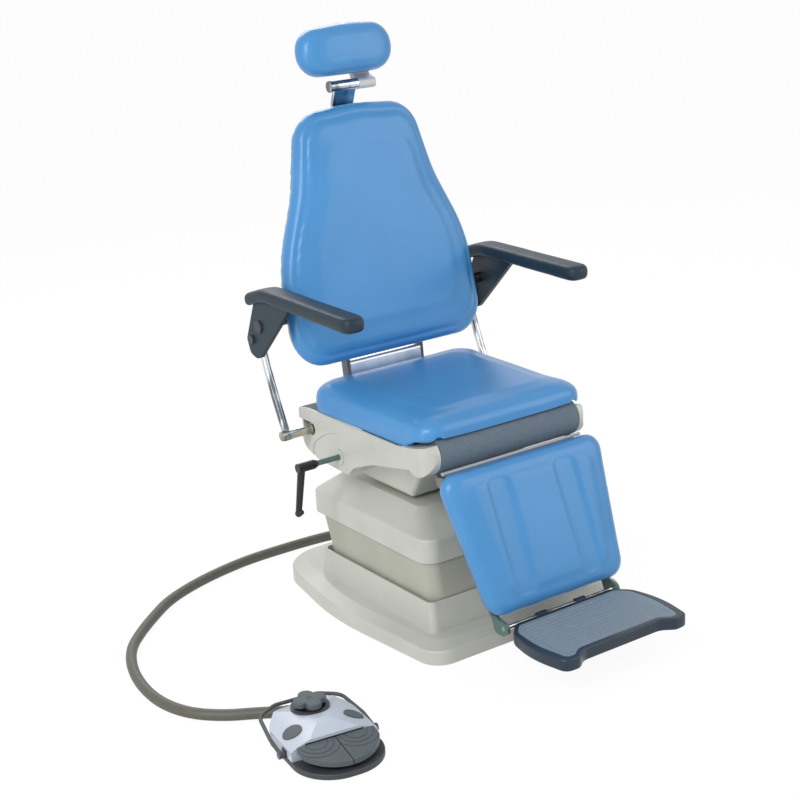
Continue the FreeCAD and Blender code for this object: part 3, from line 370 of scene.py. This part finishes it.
# %% [markdown]
# ## Dress the working parts
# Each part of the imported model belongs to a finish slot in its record. A dictionary by slot name gives every
# part its material in one loop, and a part whose slot has no finish would stop the script. Edges sharper
# than the angle below stay crisp, and flatter ones are shaded as one round surface.

# %% Hand out the finishes
CRISP_ANGLE = math.radians(32)

for part in frame["record"]["subparts"]:
    solid = nodes[part["node"]]
    solid.data.materials.clear()
    solid.data.materials.append(finishes[part["material_slot"]])
    select_only(solid)
    bpy.ops.object.shade_smooth_by_angle(angle=CRISP_ANGLE)

# %% [markdown]
# ## The hose on the floor
# The hose leaves a gland at the back of the base, comes down to the floor and runs round the chair to the
# foot control. A NURBS spline that follows the route's control points is smooth all along, as a hose is.
# The order is set after the points, or Blender keeps straight runs.

# %% Lay the hose
HOSE_SLOT = "hose_rubber"
HOSE_RADIUS = 0.0135
HOSE_ROUTE = [
    (0.084, 0.418, 0.019), (0.044, 0.454, 0.016), (-0.020, 0.482, 0.0137), (-0.110, 0.494, 0.0137),
    (-0.215, 0.497, 0.0137), (-0.320, 0.495, 0.0137), (-0.430, 0.474, 0.0137), (-0.530, 0.442, 0.0137),
    (-0.620, 0.398, 0.0137), (-0.690, 0.340, 0.0137), (-0.760, 0.277, 0.0137), (-0.826, 0.204, 0.0137),
    (-0.872, 0.104, 0.0137), (-0.896, 0.000, 0.0137), (-0.899, -0.100, 0.0137), (-0.872, -0.187, 0.0137),
    (-0.815, -0.250, 0.0137), (-0.752, -0.290, 0.015), (-0.704, -0.332, 0.018)]
SPLINE_ORDER, SPLINE_STEPS, ROUND_STEPS = 3, 10, 6

line = bpy.data.curves.new("hose_sleeve", "CURVE")
line.dimensions = "3D"
spline = line.splines.new("NURBS")
spline.points.add(len(HOSE_ROUTE) - 1)
for point, at in zip(spline.points, HOSE_ROUTE):
    point.co = (*at, 1)
spline.order_u = SPLINE_ORDER
spline.use_endpoint_u = True
spline.resolution_u = SPLINE_STEPS
line.bevel_depth = HOSE_RADIUS
line.bevel_resolution = ROUND_STEPS
line.use_fill_caps = True
line.materials.append(finishes[HOSE_SLOT])
hose = bpy.data.objects.new("hose_sleeve", line)
scene.collection.objects.link(hose)
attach(hose, "base")
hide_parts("hose")
print("hose laid along", len(HOSE_ROUTE), "control points")

# %% [markdown]
# ## Soft pieces from solids
# The pads and armrests start as copies of their solids, and their points are moved many at a time. Reading
# all points into one array and writing them back is much faster than a loop over vertices.

# %% Helpers for soft pieces


def coordinates(mesh):
    flat = np.empty(len(mesh.vertices) * 3, np.float32)
    mesh.vertices.foreach_get("co", flat)
    return flat.reshape(-1, 3)


def put(mesh, points):
    mesh.vertices.foreach_set("co", np.ascontiguousarray(points, np.float32).ravel())
    mesh.update()


def press(piece, amount):
    """Moves every point inwards, against its normal, by its own amount."""
    normals = np.empty(len(piece.data.vertices) * 3, np.float32)
    piece.data.vertices.foreach_get("normal", normals)
    put(piece.data, coordinates(piece.data) - normals.reshape(-1, 3) * amount[:, None])


def eased(share):
    """Runs from 0 to 1 as share does, but level at both ends."""
    return share * share * (3 - 2 * share)


def apply(piece, kind, **settings):
    modifier = piece.modifiers.new(kind.lower(), kind)
    for key, value in settings.items():
        setattr(modifier, key, value)
    select_only(piece)
    bpy.ops.object.modifier_apply(modifier=modifier.name)


def copy_of(node, ending):
    piece = bpy.data.objects.new(node + ending, nodes[node].data.copy())
    scene.collection.objects.link(piece)
    return piece


def stand_for(node, piece, body, slot):
    """Gives the piece its finish and puts it in the place of a solid."""
    select_only(piece)
    bpy.ops.object.shade_smooth()
    piece.data.materials.clear()
    piece.data.materials.append(finishes[slot])
    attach(piece, body)
    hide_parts(node)
    print(piece.name, len(piece.data.polygons), "faces")


# %% [markdown]
# ## Upholstered pads
# A pad is foam under a stretched cover. The solid gives its outline and its size. A copy of it is welded
# where the solid's faces meet, remeshed into even squares, drawn in a little, and blown up again as cloth
# with air pressure, while the face that lies on its board is pinned. Foam holds the cover, so no point goes
# further than a few millimetres, and the small folds are evened out, because the real cover is stretched
# tight. Last, one subdivision makes it smooth, and it is stretched to the solid's size again.

# %% Blow a pad up
CLOTH_FRAMES, CLOTH_QUALITY = 20, 5
AIR_PRESSURE, COVER_STIFFNESS = 4.0, 5.0
EVEN_ROUNDS = 60
SMALLEST_MOVE = 1e-9


def evened(mesh, move, rounds):
    """The same movement with every point drawn towards the mean of its neighbours, over and over."""
    ends = np.empty(len(mesh.edges) * 2, np.int32)
    mesh.edges.foreach_get("vertices", ends)
    first, second = ends[0::2], ends[1::2]
    count = np.bincount(ends, minlength=len(move))[:, None]
    for _ in range(rounds):
        total = np.zeros_like(move)
        np.add.at(total, first, move[second])
        np.add.at(total, second, move[first])
        move = 0.5 * move + 0.5 * total / count
    return move


def inflate(piece, cap):
    """Cloth with pressure for a few frames. Only the broad swell is kept, and none of it beyond cap."""
    start = coordinates(piece.data).copy()
    cloth = piece.modifiers.new("cloth", "CLOTH")
    cloth.settings.use_pressure = True
    cloth.settings.uniform_pressure_force = AIR_PRESSURE
    cloth.settings.effector_weights.gravity = 0.0
    cloth.settings.vertex_group_mass = "held"
    cloth.settings.quality = CLOTH_QUALITY
    cloth.settings.bending_stiffness = COVER_STIFFNESS
    cloth.point_cache.frame_end = CLOTH_FRAMES
    for f in range(1, CLOTH_FRAMES + 1):
        scene.frame_set(f)
    select_only(piece)
    bpy.ops.object.modifier_apply(modifier=cloth.name)
    move = coordinates(piece.data) - start
    far = np.linalg.norm(move, axis=1, keepdims=True)
    move = move * np.minimum(1.0, cap / np.maximum(far, SMALLEST_MOVE))
    put(piece.data, start + evened(piece.data, move, EVEN_ROUNDS))
    scene.frame_set(1)
    print(piece.name, "swelled by up to %.1f mm" % (1000 * min(cap, far.max())))


# %% Fit it to its solid
EDGE_RISE, EDGE_SINK = 0.016, 0.003


def fit(piece, node, to_board, sink):
    """Stretches the piece to the solid's size along its own three axes, and sinks its edge to the board."""
    down = np.array(Vector(to_board).normalized())
    axes = np.array([(1.0, 0.0, 0.0), np.cross(down, (1.0, 0.0, 0.0)), down])
    want, have = coordinates(nodes[node].data) @ axes.T, coordinates(piece.data) @ axes.T
    low, high = have.min(axis=0), have.max(axis=0)
    share = (have - low) / (high - low)
    at = want.min(axis=0) + share * (want.max(axis=0) - want.min(axis=0))
    edge = np.clip((at[:, 2] - at[:, 2].max()) / EDGE_RISE + 1, 0, 1)
    at[:, 2] += sink * edge ** 2
    put(piece.data, at @ axes)


# %% Make a pad
WELD = 0.0001
HELD_DEPTH = 0.005
DRAWN_IN = 0.002
PAD_SMOOTHING = 5


def mark(piece, name, chosen):
    piece.vertex_groups.new(name=name).add([int(i) for i in np.nonzero(chosen)[0]], 1.0, "REPLACE")


def pad(node, to_board, voxel=0.007, cap=0.006):
    """A soft pad shaped like a solid. to_board points to the board it lies on."""
    piece = copy_of(node, "_pad")
    select_only(piece)
    bpy.ops.object.mode_set(mode="EDIT")
    bpy.ops.mesh.select_all(action="SELECT")
    bpy.ops.mesh.remove_doubles(threshold=WELD)
    bpy.ops.object.mode_set(mode="OBJECT")
    apply(piece, "REMESH", mode="VOXEL", voxel_size=voxel)
    depth = coordinates(piece.data) @ np.array(Vector(to_board).normalized())
    held = depth > depth.max() - HELD_DEPTH
    mark(piece, "held", held)
    mark(piece, "free", ~held)
    apply(piece, "SMOOTH", factor=0.5, iterations=PAD_SMOOTHING, vertex_group="free")
    apply(piece, "DISPLACE", strength=-DRAWN_IN, mid_level=0.0, vertex_group="free")
    inflate(piece, cap)
    piece.vertex_groups.clear()
    apply(piece, "SUBSURF", levels=1, render_levels=1)
    fit(piece, node, to_board, EDGE_SINK)
    return piece


def upholster(node, piece, body):
    stand_for(node, piece, body, VINYL_SLOT)


# %% [markdown]
# ## Seat and headrest
# The seat lies flat, and the headrest leans as the back does. The front of the seat lies over the legrest's
# ribbed drum, which turns under it. The swelling would push the pad into the drum, so its points are moved
# out to just beyond the ribs. Beside the drum the room fades out, so that the step in the edge is soft.

# %% Make the seat and the headrest
DOWN = (0, 0, -1)
BACK_LEAN = math.radians(11.5)
BACK_NORMAL = (0, math.cos(BACK_LEAN), -math.sin(BACK_LEAN))
LEG_HINGE = np.array(next(j["pos_m"] for j in frame["joints"] if j["name"] == "leg_lift"))
DRUM_CLEAR, DRUM_END_ROOM = 0.0503, 0.0025
DRUM_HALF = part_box("leg_drum")[1].x + DRUM_END_ROOM
CORNER_RUN, CORNER_DROP = 0.03, 0.012


def clear_of_drum(piece):
    """Moves the points that lie in the drum's room straight away from the hinge."""
    points = coordinates(piece.data)
    arm = points[:, 1:] - LEG_HINGE[1:]
    far = np.linalg.norm(arm, axis=1, keepdims=True)
    aside = np.clip((np.abs(points[:, :1]) - DRUM_HALF) / CORNER_RUN, 0, 1)
    clear = DRUM_CLEAR - CORNER_DROP * eased(aside)
    points[:, 1:] = np.where(far < clear, LEG_HINGE[1:] + arm * clear / far, points[:, 1:])
    put(piece.data, points)


seat_pad = pad("seat_cushion", DOWN)
clear_of_drum(seat_pad)
upholster("seat_cushion", seat_pad, "seat")
head_pad = pad("head_cushion", BACK_NORMAL, voxel=0.0045, cap=0.004)
upholster("head_cushion", head_pad, "head")

# %% [markdown]
# ## The back and its seam
# The back's cover is sewn from a front panel and a border. The seam lies at one depth behind the front, so a
# groove at that depth goes round the whole pad.

# %% Make the back
SEAM_BEHIND, SEAM_WIDTH, SEAM_DEEP = 0.012, 0.0035, 0.0035

back_pad = pad("back_cushion", BACK_NORMAL)
behind = coordinates(back_pad.data) @ np.array(BACK_NORMAL)
behind = behind - behind.min() - SEAM_BEHIND
press(back_pad, SEAM_DEEP * np.exp(-(behind / SEAM_WIDTH) ** 2))
upholster("back_cushion", back_pad, "back")

# %% [markdown]
# ## The legrest and its hollows
# The legrest has two shallow hollows for the calves, which the solid has too. The cloth softens their edges,
# so they are pressed in once more, as two rounded oblongs on the front.

# %% Make the legrest
LEG_FALL = math.radians(67)
LEG_NORMAL = (0, math.sin(LEG_FALL), -math.cos(LEG_FALL))
LEG_ALONG = (0, -math.cos(LEG_FALL), -math.sin(LEG_FALL))
LEG_FORWARD = (0, -math.sin(LEG_FALL), math.cos(LEG_FALL))
LEG_FRONT = 0.06
CALF_X, CALF_HALF, CALF_MID, CALF_LONG = 0.100, 0.031, 0.236, 0.142
CALF_ROUND, CALF_EDGE, CALF_DEEP = 0.02, 0.010, 0.001


def calf_hollows(points):
    """1 in the two hollows, 0 elsewhere, with a smooth change at their edges."""
    place = points - LEG_HINGE
    beside = np.abs(np.abs(place[:, 0]) - CALF_X) - CALF_HALF + CALF_ROUND
    beyond = np.abs(place @ LEG_ALONG - CALF_MID) - CALF_LONG + CALF_ROUND
    outside = np.hypot(np.maximum(beside, 0), np.maximum(beyond, 0)) - CALF_ROUND
    on_front = place @ LEG_FORWARD > LEG_FRONT
    return eased(np.clip(0.5 - outside / CALF_EDGE, 0, 1)) * on_front


leg_pad = pad("leg_cushion", LEG_NORMAL, voxel=0.006, cap=0.004)
press(leg_pad, CALF_DEEP * calf_hollows(coordinates(leg_pad.data)))
upholster("leg_cushion", leg_pad, "legrest")

# %% [markdown]
# ## Armrest pads
# The armrests are skinned foam with every edge rounded. The solid's edges are crisper, so a copy of it is
# remeshed into small squares and smoothed, then brought back to the solid's size.

# %% Round the armrests
ARM_VOXEL, ARM_SMOOTHING = 0.003, 70

for node, body in (("arm_pad_l", "arm_left"), ("arm_pad_r", "arm_right")):
    skin = copy_of(node, "_skin")
    apply(skin, "WELD", merge_threshold=WELD)
    apply(skin, "REMESH", mode="VOXEL", voxel_size=ARM_VOXEL)
    apply(skin, "SMOOTH", factor=0.5, iterations=ARM_SMOOTHING)
    fit(skin, node, DOWN, sink=0.0)
    stand_for(node, skin, body, "slate_plastic")

# %% [markdown]
# ## The floor
# A plain pale floor reaches to the horizon. In a photograph on white the floor is nearly as bright as the
# wall, so most of what the camera sees of it is an even glow, and the rest is paint that takes the shadows.
# Light that bounces off the floor comes from the paint alone.

# %% Lay the floor
FLOOR_SIZE, FLOOR_COLOUR, FLOOR_ROUGH = 120, (0.86, 0.86, 0.86, 1), 0.9
GLOW_SHARE, GLOW_STRENGTH = 0.9, 1.04
WHITE = (1, 1, 1, 1)


def seen_share(tree):
    """1 for what is seen straight, in a mirror or through glass, and 0 for what only gives light."""
    kinds = ("Is Camera Ray", "Is Glossy Ray", "Is Transmission Ray")
    straight, mirrored, through = (Wire(tree).node("LightPath", out=kind) for kind in kinds)
    return straight + mirrored + through


bpy.ops.mesh.primitive_plane_add(size=FLOOR_SIZE, location=(0, 0, 0))
floor = bpy.context.active_object
floor.name = "floor"
ground, floor_shader, _ = new_finish("floor_pale", Base_Color=FLOOR_COLOUR, Roughness=FLOOR_ROUGH)
tree = ground.node_tree
paint = Wire(tree, floor_shader.outputs["BSDF"])
glow = Wire(tree).node("Emission", Color=WHITE, Strength=GLOW_STRENGTH)
mixed = Wire(tree).node("MixShader", i0=seen_share(tree) * GLOW_SHARE, i1=paint, i2=glow)
tree.links.new(mixed.socket, tree.nodes["Material Output"].inputs["Surface"])
floor.data.materials.append(ground)
print("floor", FLOOR_SIZE, "m wide")

# %% [markdown]
# ## Light
# One wide lamp from the front left gives the shape, a weaker one fills from the right, a tall strip on the
# left draws a bright line along rounded edges, and one behind parts the chair from the background. Each row
# holds name, place, the point it shines at, width and height, and power. A white world wraps the rest. It is
# seen at full strength, as a white wall is, and lights the chair with less.

# %% Lamps
LAMPS = [
    ("key", (-3.4, -1.9, 3.4), (0, 0, 0.7), (2.2, 2.2), 96),
    ("fill", (2.8, -3.0, 2.4), (0, 0, 0.7), (2.4, 2.4), 38),
    ("strip", (-3.0, -0.9, 1.1), (0, 0, 0.9), (0.4, 2.2), 14),
    ("rear", (0.8, 3.0, 3.2), (0, 0, 0.9), (2.6, 1.6), 50)]

for name, at, towards, size, power in LAMPS:
    bpy.ops.object.light_add(type="AREA", location=at)
    lamp = bpy.context.active_object
    lamp.name = name
    lamp.data.shape = "RECTANGLE"
    lamp.data.size, lamp.data.size_y = size
    lamp.data.energy = power
    lamp.rotation_euler = (Vector(towards) - Vector(at)).to_track_quat("-Z", "Y").to_euler()
print(len(LAMPS), "lamps")

# %% World
SEEN_STRENGTH, LIGHT_STRENGTH = 1.0, 0.44

world = scene.world or bpy.data.worlds.new("studio")
scene.world = world
world.use_nodes = True
sky = world.node_tree
sky.nodes.clear()
wall = Wire(sky).node("Background", Color=WHITE, Strength=SEEN_STRENGTH)
light = Wire(sky).node("Background", Color=WHITE, Strength=LIGHT_STRENGTH)
mixed = Wire(sky).node("MixShader", i0=seen_share(sky), i1=light, i2=wall)
Wire(sky).node("OutputWorld", Surface=mixed)
scene.view_settings.view_transform = "Standard"
print("world set")
